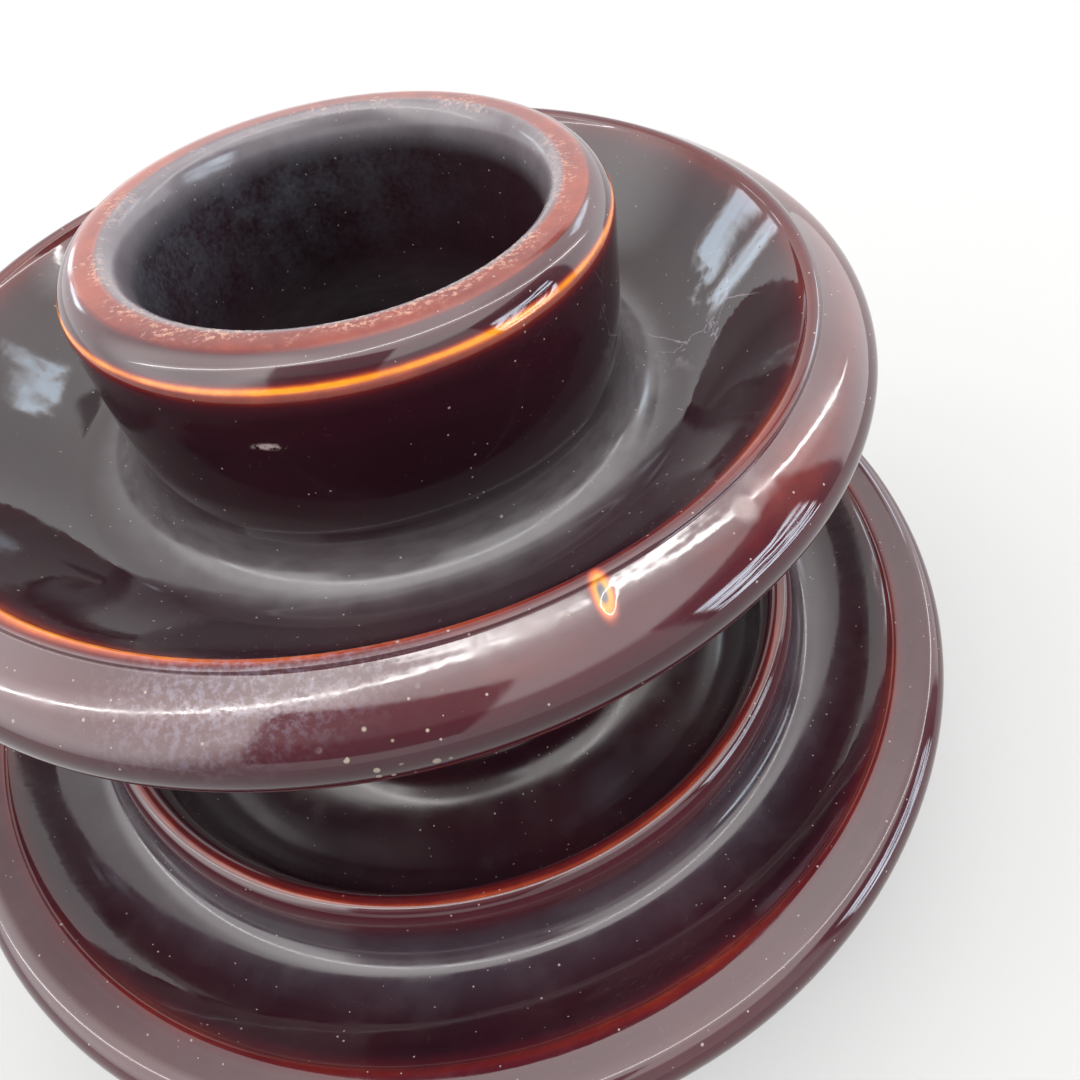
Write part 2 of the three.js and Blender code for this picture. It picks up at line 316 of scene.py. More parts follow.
def shape_head(r, z, a):
    swell = unevenness(r, z, a, 21, 110.0)
    ripple = unevenness(r, z, a, 22, 28.0)
    shell = z > 20
    r = r + np.where(shell, 0.2 * swell + 0.035 * ripple, 0)
    z = z + np.where(z > 70, 0.2 * unevenness(r, z, a, 23, 150.0), 0)
    # The conductor saddle: a round-bottomed groove along X, with soft edges.
    x, y = r * np.cos(a), r * np.sin(a)
    across = np.abs(y)
    groove = SADDLE_DEPTH - SADDLE_RADIUS + np.sqrt(np.maximum(SADDLE_RADIUS**2 - y**2, 0))
    groove -= 3.0 * np.maximum(across - SADDLE_RADIUS, 0)
    outside = z < 24
    raised = np.where(outside, smooth_max(groove, z, 2.6), z)
    raised = np.where(outside & (across < SADDLE_RADIUS + 4), raised, z)
    limit = np.interp(raised, CROWN_SIDE[:, 1], CROWN_SIDE[:, 0])
    moved = raised > z + 0.02
    r = np.where(moved & (raised > CROWN_ROUND), np.minimum(r, limit), r)
    return r, raised


def set_attribute(mesh, name, values):
    attribute = mesh.attributes.new(name, "FLOAT", "POINT")
    attribute.data.foreach_set("value", np.asarray(values, np.float32))


def glaze_thinness(mesh, base, stations):
    """How thin the fired glaze is, from 0 where it pooled to 1 where it ran off an edge.
    Each station is an edge that the glaze ran away from: (radius, height, reach in mm, strength,
    how much weaker it is on the far side, the angle in degrees where it is strongest)."""
    x, y, z = vertex_places(mesh).T / MM
    r, a = np.hypot(x, y), np.arctan2(y, x)
    thin = base(r, z, a)
    for station_r, station_z, reach, strength, swing, strongest in stations:
        near = np.exp(-((r - station_r) ** 2 + (z - station_z) ** 2) / reach**2)
        turn = 0.5 - 0.5 * np.cos(a - math.radians(strongest))
        thin = np.maximum(thin, (strength - swing * turn) * near)
    thin += 0.04 * unevenness(r, z, a, 31, 55.0)
    set_attribute(mesh, "thinness", np.clip(thin, 0, 1))


def bell(r, z, centre_r, centre_z, reach):
    return np.exp(-(((r - centre_r) / reach) ** 2) - (((z - centre_z) / reach) ** 2))


def centre_base(r, z, a):
    thin = np.full_like(r, 0.09)
    # The lip is redder on the side towards +X, and browner where the glaze lies thicker.
    redder = 0.5 + 0.5 * np.cos(a - math.radians(-12.0))
    thin = np.maximum(thin, (0.46 + 0.16 * redder) * bell(r, z, 106.5, 213.0, 11.0))
    wall = 0.16 * np.exp(-(((z - 228) / 8) ** 2)) * (r > 52)
    # The rim: brick red on its land, dark glass on the rounded shoulder and in the mouth.
    land = 0.69 * np.clip((z - HEIGHT + 1.5) / 1.1, 0, 1) * np.clip((r - 47.2) / 1.6, 0, 1)
    land *= np.clip((55.6 - r) / 1.6, 0, 1)
    shoulder = 0.36 * np.clip((z - HEIGHT + 4.6) / 2.4, 0, 1) * (r > 50)
    mouth = 0.3 * np.clip((z - HEIGHT + 9) / 5, 0, 1) * (r < 50)
    # Amber shows at the top of the rim on the side away from +X.
    amber = 0.5 + 0.5 * np.cos(a - math.radians(128.0))
    top = 0.93 * amber**3 * bell(r, z, 54.6, 240.9, 2.0)
    return np.maximum.reduce([thin, wall, land, shoulder, mouth, top])


def head_base(r, z, a):
    thin = np.full_like(r, 0.12)
    ring = 0.5 * bell(r, z, 107.0, 116.0, 7.0)
    lip = 0.5 * bell(r, z, 146.0, 109.0, 10.5)
    crown = 0.42 * np.exp(-(((r - 52) / 9) ** 2) - (((z - 5) / 7) ** 2))
    return np.maximum.reduce([thin, ring, lip, crown])


centre_mesh = turned_mesh(
    "centre_shell_surface",
    centre_outline(),
    ring_angles([(-82, -73, 0.2)]),
    shape_centre,
)
glaze_thinness(
    centre_mesh,
    centre_base,
    [
        (58.7, HEIGHT - 5.1, 1.5, 1.0, 0.16, -115.0),
        (58.9, HEIGHT - 6.0, 3.0, 0.74, 0.12, -115.0),
        (99.5, 218.0, 2.6, 0.9, 1.7, -122.0),
        (98.9, 217.3, 5.0, 0.72, 0.16, -115.0),
        (114.2, 204.0, 3.0, 0.66, 0.1, -100.0),
    ],
)
head_mesh = turned_mesh(
    "head_shell_surface",
    head_outline(),
    ring_angles([(-24, 24, 0.5), (156, 179.9, 0.5), (-180, -156, 0.5)]),
    shape_head,
)
glaze_thinness(
    head_mesh,
    head_base,
    [
        (RING[0] + 0.4, RING[1], 1.0, 0.8, 0.22, -120.0),
        (RING[0] - 0.4, RING[1] - 0.8, 3.6, 0.62, 0.0, 0.0),
        (HEAD_SHOULDER[0] - 1.4, HEAD_SHOULDER[1] + 1.4, 4.0, 0.64, 0.1, -30.0),
        (152.0, 107.0, 3.4, 0.62, 0.12, -20.0),
        (56.2, 8.0, 3.0, 0.62, 0.0, 0.0),
        (47.5, 0.0, 3.0, 0.55, 0.0, 0.0),
        (54.0, 96.5, 3.0, 0.6, 0.0, 0.0),
    ],
)


# ---------------------------------------------------------------- cement and thimble


def taper(foot, mouth, z):
    return foot[0] + (mouth[0] - foot[0]) * (z - foot[1]) / (mouth[1] - foot[1])


def joint_cement_outline():
    gap = 1.9
    inner_gap = 2.4
    o = Outline(0, 46.3).line(30, 46.3, 8)
    o.line(taper(SOCKET_FOOT, SOCKET_MOUTH, 53) - gap, 53, 3)
    o.line(taper(SOCKET_FOOT, SOCKET_MOUTH, 93) - gap, 93, 3)
    top_outer = taper(SOCKET_FOOT, SOCKET_MOUTH, 93.5) - gap - 0.4
    top_inner = taper(TRUNK_FOOT, TRUNK_MOUTH, 92.7) + inner_gap + 0.4
    o.line(top_outer, 93.5, 0.5)
    o.line(top_inner, 92.7, 0.5)
    o.line(taper(TRUNK_FOOT, TRUNK_MOUTH, 60) + inner_gap, 60, 3)
    o.line(TRUNK_FOOT[0] + 0.6, 54.5, 2)
    o.line(TRUNK_FOOT[0] - 1.5, 51.7, 2)
    return o.line(0, 51.7, 8).array()


def shape_joint_cement(r, z, a):
    top = np.clip((z - 90) / 3.0, 0, 1)
    rough = 0.4 * unevenness(r, z, a, 41, 9.0) + 0.25 * unevenness(r, z, a, 42, 3.5)
    return r, z - top * (0.9 + 0.9 * np.abs(rough))


def thimble_cement_outline():
    outer = SEAT_RADIUS - 1.6
    inner = THIMBLE_RADIUS + 1.1
    o = Outline(0, 64.3).line(outer, 64.3, 6)
    o.line(outer, 117.0, 4)
    o.line(outer - 0.4, 117.5, 0.4)
    o.line(inner + 0.4, 117.5, 0.4)
    o.line(inner, 117.0, 0.4)
    o.line(inner, 67.1, 4)
    return o.line(0, 67.1, 6).array()


def shape_thimble_cement(r, z, a):
    top = np.clip((z - 115) / 2.5, 0, 1)
    rough = 0.5 * unevenness(r, z, a, 43, 7.0) + 0.3 * unevenness(r, z, a, 44, 3.0)
    return r, z - top * (0.4 + 0.8 * np.abs(rough))


THIMBLE_TOP = 119.0
THIMBLE_FOOT = 67.4
THIMBLE_BANDS = 3  # raised bands with a cement groove above each
THREAD_LOW = 74.4
THREAD_TOP = THIMBLE_TOP - 3.0


def thimble_outline():
    o = Outline(0, THIMBLE_FOOT).line(THIMBLE_RADIUS - 1, THIMBLE_FOOT, 5)
    groove_radius = THIMBLE_RADIUS - 1.2
    band = (THIMBLE_TOP - THIMBLE_FOOT) / THIMBLE_BANDS
    for i in range(THIMBLE_BANDS):
        z = THIMBLE_FOOT + band * i
        o.line(THIMBLE_RADIUS, z + 1.5, 1)
        o.line(THIMBLE_RADIUS, z + band * 0.45, 3)
        o.line(groove_radius, z + band * 0.55, 1)
        o.line(groove_radius, z + band * 0.85, 3)
    o.line(THIMBLE_RADIUS, THIMBLE_TOP - 1.0, 1)
    o.curve((THIMBLE_RADIUS, THIMBLE_TOP - 0.4), (21.4, THIMBLE_TOP), (20.9, THIMBLE_TOP), 0.3)
    o.line(THREAD_RADIUS + 1.0, THIMBLE_TOP, 0.6)
    o.curve(
        (THREAD_RADIUS + 0.4, THIMBLE_TOP),
        (THREAD_RADIUS, THIMBLE_TOP - 0.4),
        (THREAD_RADIUS, THREAD_TOP),
        0.5,
    )
    o.line(THREAD_RADIUS, THREAD_LOW, 0.4)
    return o.line(0, THREAD_LOW, 1.5).array()


def shape_thimble(r, z, a):
    """Cuts the helical pin thread into the bore, running out at both ends."""
    bore = (np.abs(r - THREAD_RADIUS) < 0.01) & (z < THREAD_TOP + 0.01) & (z > THREAD_LOW - 0.01)
    phase = (z / THREAD_PITCH - a / (2 * math.pi)) % 1.0
    ridge = np.abs(phase - 0.5) * 2
    rounded = ridge * ridge * (3 - 2 * ridge)
    end = np.clip(np.minimum(THREAD_TOP - z, z - THREAD_LOW) / THREAD_PITCH, 0, 1)
    depth = THREAD_DEPTH * (0.55 * rounded + 0.45 * ridge) * end
    return r - np.where(bore, depth, 0), z


even_angles = np.radians(np.arange(180) * 2.0)
joint_cement_mesh = turned_mesh(
    "joint_cement_surface", joint_cement_outline(), even_angles, shape_joint_cement
)
thimble_cement_mesh = turned_mesh(
    "thimble_cement_surface", thimble_cement_outline(), even_angles, shape_thimble_cement
)
thimble_mesh = turned_mesh("thimble_surface", thimble_outline(), even_angles, shape_thimble)


# ---------------------------------------------------------------- materials


class Nodes:
    """A short way to build a node tree: each call adds a node and gives back the output to link on."""

    def __init__(self, tree):
        self.tree = tree

    def put(self, socket, value):
        if isinstance(value, bpy.types.NodeSocket):
            self.tree.links.new(value, socket)
        else:
            socket.default_value = value

    def node(self, kind, inputs=None, **settings):
        n = self.tree.nodes.new(kind)
        for key, value in settings.items():
            setattr(n, key, value)
        for key, value in (inputs or {}).items():
            self.put(n.inputs[key], value)
        return n

    def math(self, operation, a, b=0.0, clamp=False):
        n = self.node("ShaderNodeMath", {0: a, 1: b}, operation=operation, use_clamp=clamp)
        return n.outputs[0]

    def vector(self, operation, a, b=(0, 0, 0)):
        second = "Scale" if operation == "SCALE" else 1
        n = self.node("ShaderNodeVectorMath", {0: a, second: b}, operation=operation)
        return n.outputs["Value" if operation in ("DOT_PRODUCT", "LENGTH") else "Vector"]

    def product(self, first, *others):
        for other in others:
            first = self.math("MULTIPLY", first, other)
        return first

    def linear(self, field, start, gain):
        """start, plus the field times gain."""
        return self.math("ADD", start, self.math("MULTIPLY", field, gain))

    def inverse(self, mask):
        return self.math("SUBTRACT", 1.0, mask)

    def noise(self, position, scale, detail, roughness):
        n = self.node(
            "ShaderNodeTexNoise",
            {"Vector": position, "Scale": scale, "Detail": detail, "Roughness": roughness},
        )
        return n.outputs["Fac"]

    def ramp(self, value, low, high):
        """0 below low, 1 above high, smooth between."""
        n = self.node(
            "ShaderNodeMapRange",
            {"Value": value, "From Min": low, "From Max": high},
            interpolation_type="SMOOTHSTEP",
        )
        return n.outputs["Result"]

    def colours(self, value, stops):
        n = self.node("ShaderNodeValToRGB", {"Fac": value})
        elements = n.color_ramp.elements
        while len(elements) < len(stops):
            elements.new(0.5)
        for element, (position, colour) in zip(elements, stops):
            element.position = position
            element.color = (*colour, 1)
        return n.outputs["Color"]

    def mix(self, factor, a, b):
        n = self.node("ShaderNodeMix", data_type="RGBA", clamp_factor=True)
        for socket, value in ((n.inputs[0], factor), (n.inputs[6], a), (n.inputs[7], b)):
            if isinstance(value, tuple) and len(value) == 3:
                value = (*value, 1)
            self.put(socket, value)
        return n.outputs[2]

    def bump(self, height, distance, normal=None):
        inputs = {"Height": height, "Distance": distance}
        if normal is not None:
            inputs["Normal"] = normal
        return self.node("ShaderNodeBump", inputs).outputs["Normal"]


def new_material(name):
    material = bpy.data.materials.new(name)
    material.use_nodes = True
    material.node_tree.nodes.clear()
    n = Nodes(material.node_tree)
    shader = n.node("ShaderNodeBsdfPrincipled")
    output = n.node("ShaderNodeOutputMaterial")
    material.node_tree.links.new(shader.outputs[0], output.inputs["Surface"])
    position = n.node("ShaderNodeTexCoord").outputs["Object"]
    return material, n, shader, position


def specks(n, position, scale, size, share, seed):
    """Small round specks: one in each of a share of random cells. size is in cells."""
    moved = n.vector("ADD", position, (seed * 0.37, seed * 0.71, seed * 0.13))
    cell = n.node(
        "ShaderNodeTexVoronoi", {"Vector": moved, "Scale": scale, "Randomness": 1.0}, feature="F1"
    )
    chosen = n.node("ShaderNodeSeparateColor", {"Color": cell.outputs["Color"]})
    keep = n.math("LESS_THAN", chosen.outputs[0], share)
    own_size = n.math("MULTIPLY", n.math("ADD", chosen.outputs[1], 0.3), size)
    outside = n.ramp(n.math("DIVIDE", cell.outputs["Distance"], own_size), 0.7, 1.15)
    return n.product(n.inverse(outside), keep)


# Marks that the inner shell's glaze has: angle in degrees, radius, height and size in millimetres.
PALE_SCUFF = (-61.5, 105.9, 216.5, 1.9)
TUBE_SCUFF = (-113.1, 59.5, 224.8, 1.5)
LIP_CHIP = (-38.7, 98.0, 211.4, 1.0)
LIP_HAZE = (-110.0, 103.5, 218.0, 9.0)
LIP_PITS = (-97.0, 113.0, 210.5, 7.5)
BOWL_CRAZE = (-8.7, 86.6, 192.0, 17.0)

# Glaze colour against how thin it is, from pooled to run off.
GLAZE_COLOURS = [
    (0.00, (0.0060, 0.0022, 0.0034)),
    (0.10, (0.0125, 0.0034, 0.0058)),
    (0.30, (0.0230, 0.0040, 0.0072)),
    (0.50, (0.0360, 0.0042, 0.0072)),
    (0.64, (0.0720, 0.0070, 0.0058)),
    (0.77, (0.1600, 0.0260, 0.0110)),
    (0.87, (0.3000, 0.0600, 0.0060)),
    (1.00, (0.4600, 0.1750, 0.0090)),
]
GLAZE_IOR = 1.5
GLAZE_ROUGHNESS = 0.035

# Colours of the marks in the glaze and of what lies on it. The blister's core is a painted reflection, the
# foot dust is partly a painted highlight, and the handled mouth and the hole soil are partly painted
# reflections.
BLISTER_CORE_REFLECTION = (0.05, 0.052, 0.06)
SPECK_DUST = (0.2, 0.165, 0.14)
FILM_DUST = (0.3, 0.28, 0.28)
SCRATCHED = (0.22, 0.2, 0.2)
SCUFFED = (0.24, 0.19, 0.18)
BUBBLED = (0.16, 0.15, 0.2)
FOOT_DUST_AND_HIGHLIGHT = (0.165, 0.165, 0.175)
PIT_DIRT = (0.2, 0.17, 0.13)
CRAZE_DIRT = (0.2, 0.17, 0.21)
KILN_SAND = (0.3, 0.17, 0.12)
HANDLED_AND_REFLECTION = (0.25, 0.25, 0.27)
HOLE_SOIL_AND_REFLECTION = (0.036, 0.040, 0.050)
TROUGH_DUST = (0.15, 0.16, 0.2)


class Glaze:
    """The fields that a glazed surface is painted from, and its colour, roughness and relief so far.
    A mask is 1 where a mark or a layer lies and 0 elsewhere."""

    def __init__(self, n, position):
        self.n = n
        self.position = position
        place = n.node("ShaderNodeSeparateXYZ", {"Vector": position})
        self.y, self.height = place.outputs["Y"], place.outputs["Z"]
        normal = n.node("ShaderNodeNewGeometry").outputs["Normal"]
        self.facing_up = n.node("ShaderNodeSeparateXYZ", {"Vector": normal}).outputs["Z"]
        self.from_axis = n.vector("LENGTH", n.vector("MULTIPLY", position, (1.0, 1.0, 0.0)))
        # Noise, from slow to fine.
        self.drift = n.noise(position, 24.0, 3.0, 0.6)
        self.cloud = n.noise(position, 75.0, 4.0, 0.65)
        self.streak = n.noise(n.vector("MULTIPLY", position, (1.0, 1.0, 4.0)), 130.0, 2.0, 0.6)
        self.fine = n.noise(position, 800.0, 2.0, 0.7)
        self.colour = None
        self.roughness = GLAZE_ROUGHNESS
        self.relief = 0.0

    def over_height(self, start, end):
        """From 0 at one height to 1 at the other, in millimetres."""
        return self.n.ramp(self.height, start * MM, end * MM)

    def over_radius(self, start, end):
        """From 0 at one distance from the axis to 1 at the other, in millimetres."""
        return self.n.ramp(self.from_axis, start * MM, end * MM)

    def spot(self, mark, wobble, edge, ragged, squash=(1.0, 1.0, 1.0)):
        """A mask of a ragged patch at a mark, which fades over edge times the mark's size.
        wobble is a noise field, and squash scales the patch along X, Y and Z."""
        angle, r, z, size = mark
        n = self.n
        away = n.vector("SUBTRACT", self.position, tuple(point_at(angle, r, z)))
        away = n.vector("LENGTH", n.vector("MULTIPLY", away, squash))
        away = n.math("DIVIDE", away, size * MM)
        swing = n.math("MULTIPLY", n.math("SUBTRACT", wobble, 0.5), ragged * 2)
        return n.inverse(n.ramp(n.math("ADD", away, swing), 1 - edge, 1 + edge))

    def tint(self, mask, share, colour):
        """Covers a share of what lies under the mask with the colour."""
        self.colour = self.n.mix(self.n.math("MULTIPLY", mask, share), self.colour, colour)

    def roughen(self, mask, amount):
        more = self.n.math("MULTIPLY", mask, amount)
        self.roughness = self.n.math("ADD", self.roughness, more, True)

    def lift(self, field, height):
        """Adds a field to the relief, with its height in millimetres."""
        self.relief = self.n.math("ADD", self.relief, self.n.math("MULTIPLY", field, height * MM))


def glaze_depth(g):
    """How thin the glaze looks: what the mesh says, broken up by drifts and fine streaks."""
    n = g.n
    thin = n.node("ShaderNodeAttribute", attribute_name="thinness").outputs["Fac"]
    change = 0.0
    for field, amount in ((g.drift, 0.30), (g.streak, 0.20), (g.fine, 0.07)):
        swing = n.math("MULTIPLY", n.math("SUBTRACT", field, 0.5), amount)
        change = n.math("ADD", change, swing)
    change = n.math("MULTIPLY", change, n.linear(thin, 0.25, 0.8))
    return n.math("ADD", thin, change, True)


def paint_plain(g):
    g.colour = g.n.colours(glaze_depth(g), GLAZE_COLOURS)


def paint_with_blister_and_reflection(g):
    """The glaze's own colour, with an amber glow at the kiln blister and a dull blue-grey core there that
    is a painted reflection.
    """
    n = g.n
    away = n.vector("SUBTRACT", g.position, tuple(point_at(*BLISTER)))
    away = n.vector("LENGTH", n.vector("MULTIPLY", away, (1.9, 0.8, 0.8)))
    away = n.math("ADD", away, n.math("MULTIPLY", n.math("SUBTRACT", g.cloud, 0.5), 2.4 * MM))
    # The dull blue-grey core at the blister is a painted reflection.
    outside_reflection_core = n.ramp(away, 0.7 * MM, 2.2 * MM)
    glow = n.inverse(n.ramp(away, 1.4 * MM, 7.4 * MM))
    depth = n.math("MAXIMUM", glaze_depth(g), glow)
    g.colour = n.mix(outside_reflection_core, BLISTER_CORE_REFLECTION, n.colours(depth, GLAZE_COLOURS))


def add_wear(g):
    """Pale specks everywhere, a faint film of dust where the surface faces up, and hairline scratches."""
    n = g.n
    tiny = specks(n, g.position, 720.0, 0.16, 0.1, 1)
    large = specks(n, g.position, 330.0, 0.1, 0.05, 2)
    dots = n.math("MAXIMUM", tiny, large)
    film = n.product(n.ramp(g.cloud, 0.4, 0.8), n.ramp(g.facing_up, 0.0, 0.9))
    g.tint(dots, 0.8, SPECK_DUST)
    g.tint(film, 0.012, FILM_DUST)
    g.roughen(film, 0.11)
    g.roughen(dots, 0.6)

    across = n.noise(n.vector("MULTIPLY", g.position, (1.0, 1.0, 8.0)), 240.0, 1.0, 0.5)
    hairline = n.ramp(n.math("ABSOLUTE", n.math("SUBTRACT", across, 0.5)), 0.0, 0.004)
    scratch = n.product(n.inverse(hairline), n.ramp(g.drift, 0.5, 0.66))
    g.tint(scratch, 0.12, SCRATCHED)
    g.roughen(scratch, 0.15)


def add_relief(g):
    """The glaze's slow ripple, its fine peel and the marks that turning left."""
    n = g.n
    turning = n.node(
        "ShaderNodeTexNoise", {"W": g.from_axis, "Scale": 520.0, "Detail": 1.0}, noise_dimensions="1D"
    ).outputs["Fac"]
    g.lift(n.noise(g.position, 46.0, 1.0, 0.4), 0.06)
    g.lift(turning, 0.007)
    g.lift(n.noise(g.position, 330.0, 1.0, 0.5), 0.009)


def add_kiln_marks_and_highlight(g):
    """The scuffs, bubbles, pits and craze lines of the inner shell, and dust with a painted highlight in
    the foot of its tube.
    """
    n = g.n
    pale = g.spot(PALE_SCUFF, g.cloud, 0.7, 1.0)
    tube = g.spot(TUBE_SCUFF, g.cloud, 0.5, 1.0, (0.55, 0.55, 1.9))
    chip = g.spot(LIP_CHIP, g.cloud, 0.3, 0.5)
    scuffs = n.math("MAXIMUM", n.math("MULTIPLY", pale, 0.4), n.product(tube, n.ramp(g.fine, 0.4, 0.55)))
    scuffs = n.math("MAXIMUM", scuffs, chip)
    g.tint(scuffs, 1.0, SCUFFED)
    g.roughen(scuffs, 0.5)

    # A mottled stretch of the lip, where the glaze is full of fine bubbles.
    haze = g.spot(LIP_HAZE, g.drift, 0.7, 0.5, (0.42, 0.9, 0.9))
    bubbles = n.product(haze, n.ramp(g.fine, 0.4, 0.7))
    g.tint(bubbles, 0.3, BUBBLED)
    g.roughen(bubbles, 0.1)
    g.lift(n.product(haze, g.fine), 0.004)

    # Fine dust washed into the foot of the tube, whose pale grey also stands in as a painted highlight
    # along the fillet.
    foot = n.product(
        g.over_height(208.0, 191.0),
        g.over_height(184.0, 188.0),
        g.over_radius(76.0, 64.0),
        n.ramp(g.facing_up, -0.1, 0.2),
        n.linear(g.streak, 0.4, 1.2),
    )
    g.tint(foot, 0.25, FOOT_DUST_AND_HIGHLIGHT)
    g.roughen(foot, 0.16)

    pits = g.spot(LIP_PITS, g.cloud, 0.3, 0.4, (0.75, 1.0, 1.0))
    pits = n.product(specks(n, g.position, 560.0, 0.34, 0.32, 5), pits)
    g.tint(pits, 0.8, PIT_DIRT)
    g.roughen(pits, 0.5)

    # Craze lines in the floor of the bowl.
    bend = n.vector("SCALE", (0.02, -0.02, 0.01), n.math("SUBTRACT", g.cloud, 0.5))
    to_crack = n.node(
        "ShaderNodeTexVoronoi",
        {"Vector": n.vector("ADD", g.position, bend), "Scale": 52.0, "Randomness": 1.0},
        feature="DISTANCE_TO_EDGE",
    ).outputs["Distance"]
    crack = n.inverse(n.ramp(to_crack, 0.004, 0.016))
    g.tint(n.product(g.spot(BOWL_CRAZE, g.drift, 0.3, 0.4), crack), 0.5, CRAZE_DIRT)


def add_rim_soil_and_reflections(g):
    """Kiln sand on the land of the tube's rim, a mouth dulled by handling and painted paler as a
    reflection, and soil in the pin hole that is partly a painted reflection.
    """
    n = g.n
    on_rim = g.over_height(HEIGHT - 1.6, HEIGHT - 0.25)
    # Most of the sand is on the near side and at the land's inner edge.
    gathered = n.math("ADD", g.cloud, n.math("MULTIPLY", g.y, -1.6))
    gathered = n.math("ADD", gathered, n.math("MULTIPLY", g.over_radius(52.5, 48.5), 0.12))
    sand = n.product(
        on_rim,
        n.ramp(g.fine, 0.47, 0.66),
        n.ramp(gathered, 0.55, 0.72),
        g.over_radius(54.0, 51.0),
    )
    g.tint(sand, 0.75, KILN_SAND)
    g.roughen(on_rim, 0.07)
    g.roughen(sand, 0.5)
    g.lift(sand, 0.08)

    # The mouth's pale grey is handling dust and partly a painted reflection on the bevel.
    mouth = n.product(g.over_radius(49.6, 47.6), g.over_height(230.0, 237.0), n.linear(g.cloud, 0.45, 1.1))
    g.tint(mouth, 0.3, HANDLED_AND_REFLECTION)
    g.roughen(mouth, 0.14)

    # The pale blue-grey in the hole is partly soil and partly a painted reflection; it is paler on the
    # side away from the skirt's blister, and fades out lower down.
    inside = n.product(g.over_radius(45.2, 44.2), g.over_height(236.5, 231.0))
    side = n.ramp(n.vector("DOT_PRODUCT", g.position, tuple(direction(150.0, 0.0))), -30.0 * MM, 45.0 * MM)
    patchiness = n.math("ADD", n.math("MULTIPLY", g.cloud, 0.6), n.math("MULTIPLY", g.fine, 0.4))
    soil_and_reflection = n.product(
        inside,
        n.linear(side, 0.12, 0.88),
        g.over_height(186.0, 228.0),
        n.ramp(patchiness, 0.3, 0.75),
    )
    g.tint(soil_and_reflection, 0.8, HOLE_SOIL_AND_REFLECTION)
    g.roughen(inside, 0.26)
    g.roughen(soil_and_reflection, 0.3)


def add_head_dust(g):
    """Dust in the well under the inner skirt, and a little washed into the trough round the ring."""
    n = g.n
    well = n.product(g.over_radius(101.0, 94.0), g.over_height(78.0, 84.0))
    g.roughen(well, 0.16)
    trough = n.product(
        g.over_radius(130.0, 117.0),
        g.over_radius(108.0, 111.0),
        g.over_height(117.0, 110.0),
        n.linear(g.cloud, 0.3, 1.3),
    )
    g.tint(trough, 0.07, TROUGH_DUST)
    g.roughen(trough, 0.1)


def glaze_material(name, steps):
    """Brown slip glaze: near black where it pooled, maroon to red where thin, amber where it ran off
    an edge. The steps paint it in order, from the glaze itself to what lies on it."""
    material, n, shader, position = new_material(name)
    glaze = Glaze(n, position)
    for step in steps:
        step(glaze)
    shader.inputs["IOR"].default_value = GLAZE_IOR
    n.put(shader.inputs["Base Color"], glaze.colour)
    n.put(shader.inputs["Roughness"], glaze.roughness)
    n.put(shader.inputs["Normal"], n.bump(glaze.relief, 1.0))
    return material


def cement_material():
    material, n, shader, position = new_material("neat_cement")
    body = n.noise(position, 120.0, 6.0, 0.7)
    stain = n.ramp(n.noise(position, 28.0, 4.0, 0.6), 0.4, 0.7)
    colour = n.colours(
        body,
        [(0.3, (0.05, 0.048, 0.044)), (0.52, (0.1, 0.096, 0.09)), (0.75, (0.17, 0.16, 0.15))],
    )
    colour = n.mix(n.math("MULTIPLY", stain, 0.6), colour, (0.055, 0.045, 0.036))
    pores = specks(n, position, 700.0, 0.35, 0.35, 7)
    colour = n.mix(n.math("MULTIPLY", pores, 0.7), colour, (0.02, 0.018, 0.016))
    normal = n.bump(body, 0.0006)
    normal = n.bump(n.math("MULTIPLY", pores, -1.0), 0.0004, normal)
    n.put(shader.inputs["Base Color"], colour)
    n.put(shader.inputs["Roughness"], n.linear(body, 0.78, 0.2))
    n.put(shader.inputs["Normal"], normal)
    return material


def sand_material():
    material, n, shader, position = new_material("fired_sand")
    grains = n.node("ShaderNodeTexVoronoi", {"Vector": position, "Scale": 900.0}, feature="F1")
    shade = n.node("ShaderNodeSeparateColor", {"Color": grains.outputs["Color"]}).outputs[0]
    colour = n.colours(
        shade,
        [(0.0, (0.07, 0.045, 0.03)), (0.5, (0.15, 0.11, 0.08)), (1.0, (0.24, 0.2, 0.16))],
    )
    normal = n.bump(n.math("MULTIPLY", grains.outputs["Distance"], -1.0), 0.0007)
    n.put(shader.inputs["Base Color"], colour)
    n.put(shader.inputs["Roughness"], n.linear(shade, 0.7, 0.25))
    n.put(shader.inputs["Normal"], normal)
    return material


def bitumen_material():
    material, n, shader, position = new_material("bituminous_coat")
    brushed = n.noise(n.vector("MULTIPLY", position, (1.0, 1.0, 0.2)), 420.0, 4.0, 0.6)
    colour = n.colours(brushed, [(0.3, (0.0022, 0.002, 0.0019)), (0.7, (0.006, 0.0052, 0.0046))])
    normal = n.bump(brushed, 0.0003)
    n.put(shader.inputs["Base Color"], colour)
    n.put(shader.inputs["Roughness"], n.linear(brushed, 0.3, 0.3))
    n.put(shader.inputs["Normal"], normal)
    return material


def zinc_material():
    material, n, shader, position = new_material("cast_zinc")
    bloom = n.ramp(n.noise(position, 75.0, 6.0, 0.7), 0.4, 0.68)
    spangle = n.noise(position, 640.0, 3.0, 0.6)
    colour = n.colours(spangle, [(0.3, (0.09, 0.095, 0.1)), (0.7, (0.16, 0.165, 0.17))])
    colour = n.mix(n.math("MULTIPLY", bloom, 0.55), colour, (0.19, 0.19, 0.185))
    normal = n.bump(spangle, 0.00012)
    n.put(shader.inputs["Base Color"], colour)
    n.put(shader.inputs["Metallic"], n.linear(bloom, 0.95, -0.6))
    n.put(shader.inputs["Roughness"], n.linear(bloom, 0.34, 0.35))
    n.put(shader.inputs["Normal"], normal)
    return material


